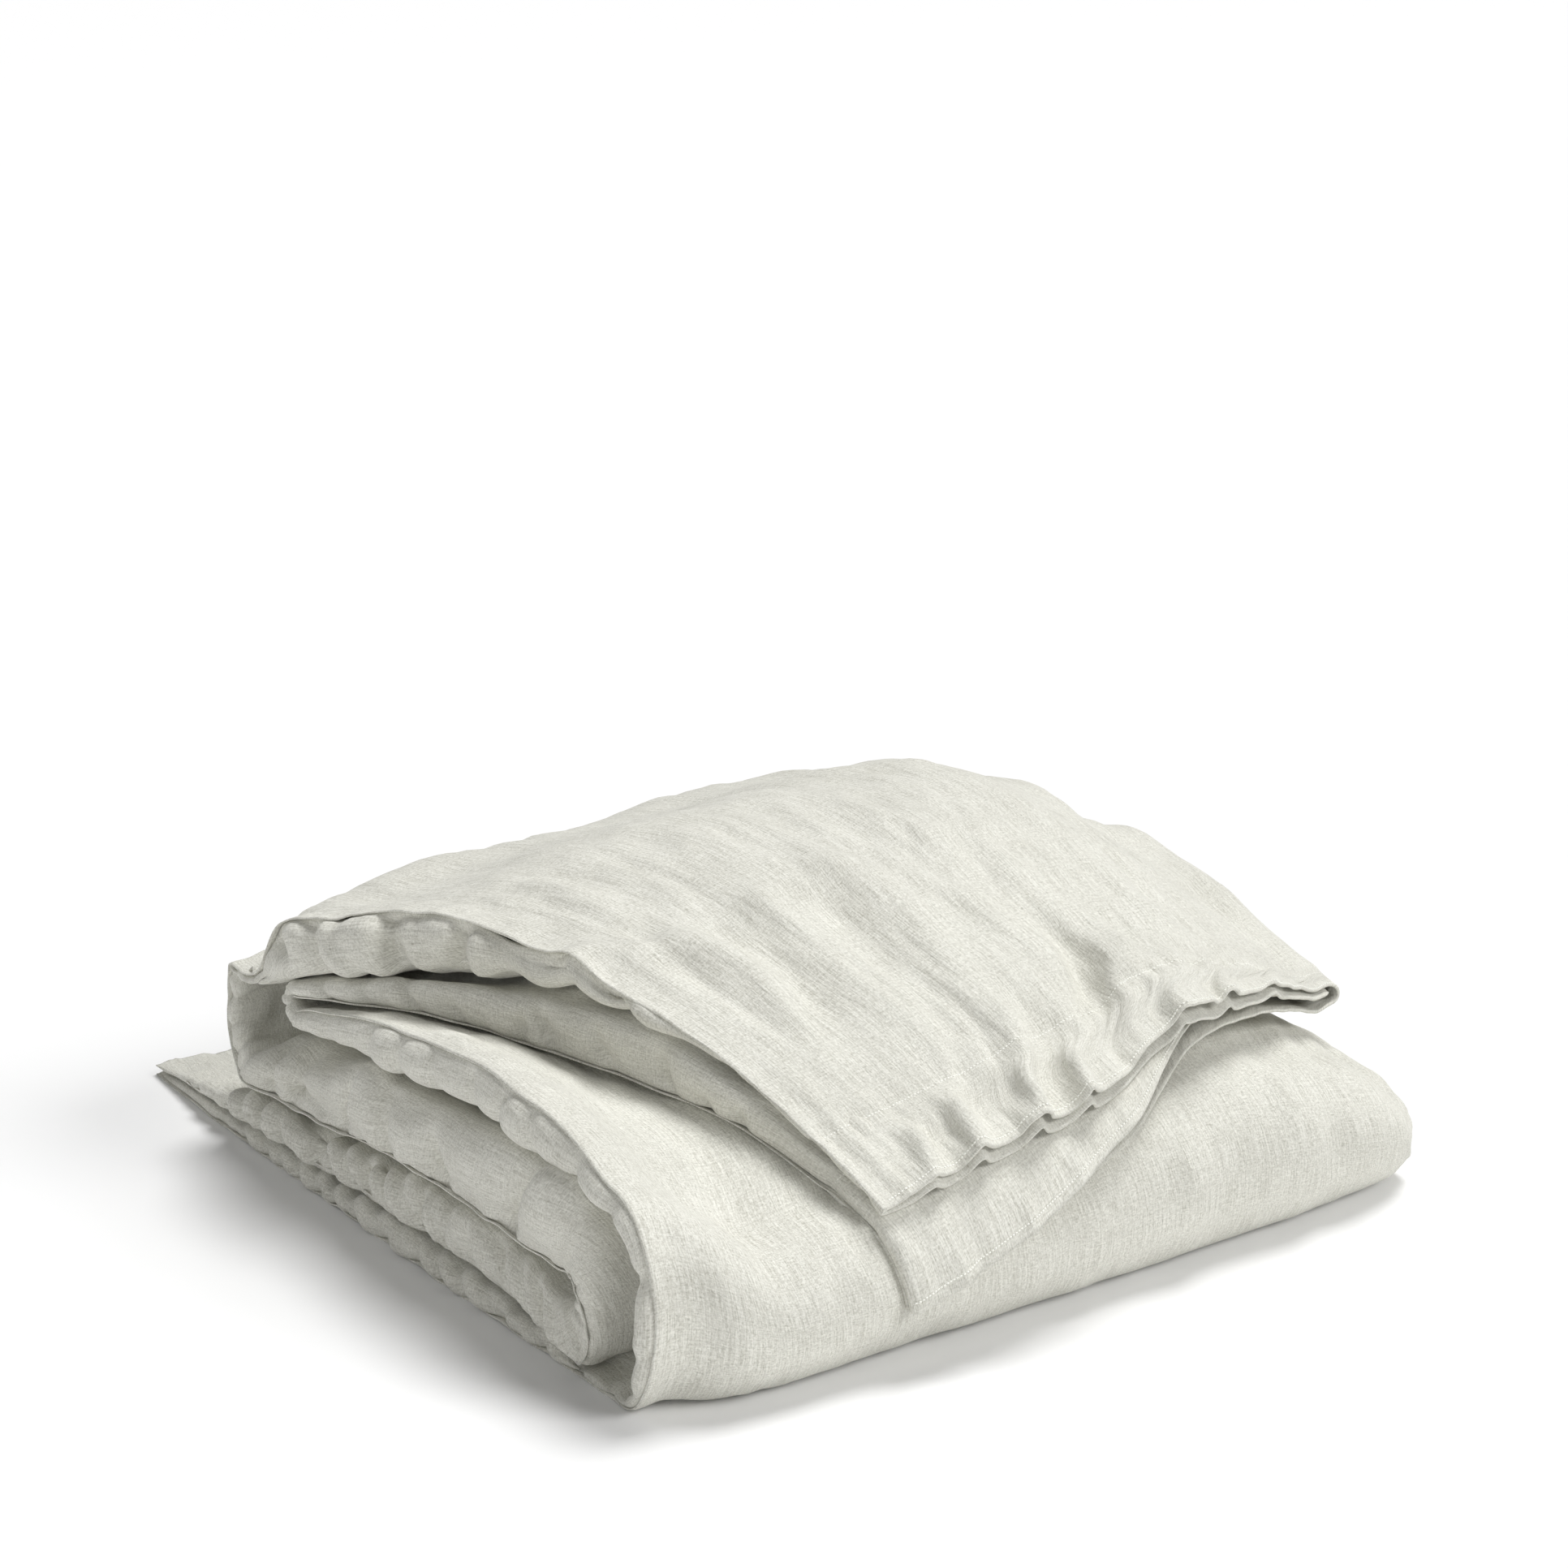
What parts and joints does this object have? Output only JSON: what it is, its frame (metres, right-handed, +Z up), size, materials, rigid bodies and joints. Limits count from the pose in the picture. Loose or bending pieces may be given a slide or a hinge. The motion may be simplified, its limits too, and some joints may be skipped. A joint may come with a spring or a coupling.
{
  "type": "crumpled duvet cover",
  "caption": "Washed linen duvet cover, folded lengthwise and then back and forth into a soft packet, with its open hemmed end hanging loose over the front.",
  "frame": {"origin": "on the surface that the packet lies on, under the middle of its box", "axes": "+Z up, -Y towards the front where the hems hang, +X towards the lengthwise fold, away from the side seams"},
  "size_m": [0.6674, 0.7634, 0.2802],
  "materials": {
    "linen_outer": "washed linen, natural pale grey-beige, matt",
    "linen_inner": "washed linen, natural pale grey-beige, matt"
  },
  "bodies": {
    "root": {"outer_panel": "linen_outer", "inner_panel": "linen_inner"}
  },
  "joints": []
}
